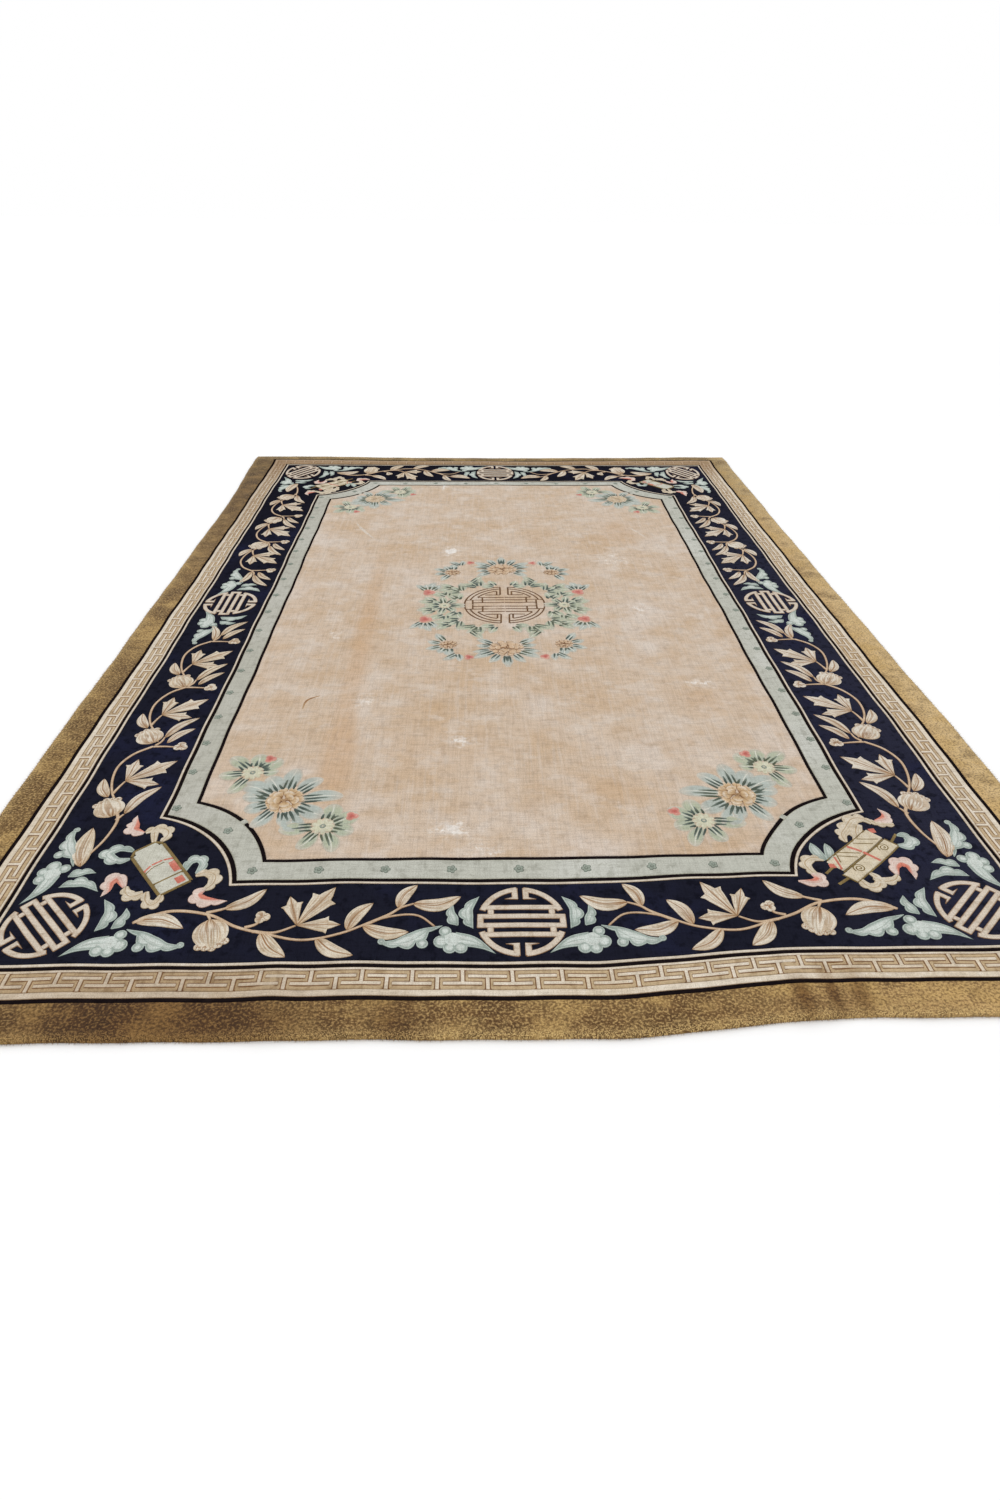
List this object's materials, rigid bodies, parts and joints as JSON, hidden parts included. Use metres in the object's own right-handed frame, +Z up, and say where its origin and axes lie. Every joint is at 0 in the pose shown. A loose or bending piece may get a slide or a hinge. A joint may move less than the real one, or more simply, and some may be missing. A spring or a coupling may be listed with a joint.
{
  "type": "silk rug",
  "caption": "Flat hand-knotted silk rug with carved pile, a fret-and-vine border with incurved corners and a plain field with a round fret medallion; lies on a floor.",
  "frame": {"origin": "on the floor, under the middle of the rug's field", "axes": "+X across the rug, +Y along its length with the picture's near edge at -Y, +Z up from the floor to the pile"},
  "size_m": [3.108, 4.3, 0.012],
  "materials": {
    "silk_pile": "cut silk pile, low sheen, carved along the pattern"
  },
  "bodies": {
    "root": {"rug": "silk_pile"}
  },
  "joints": []
}
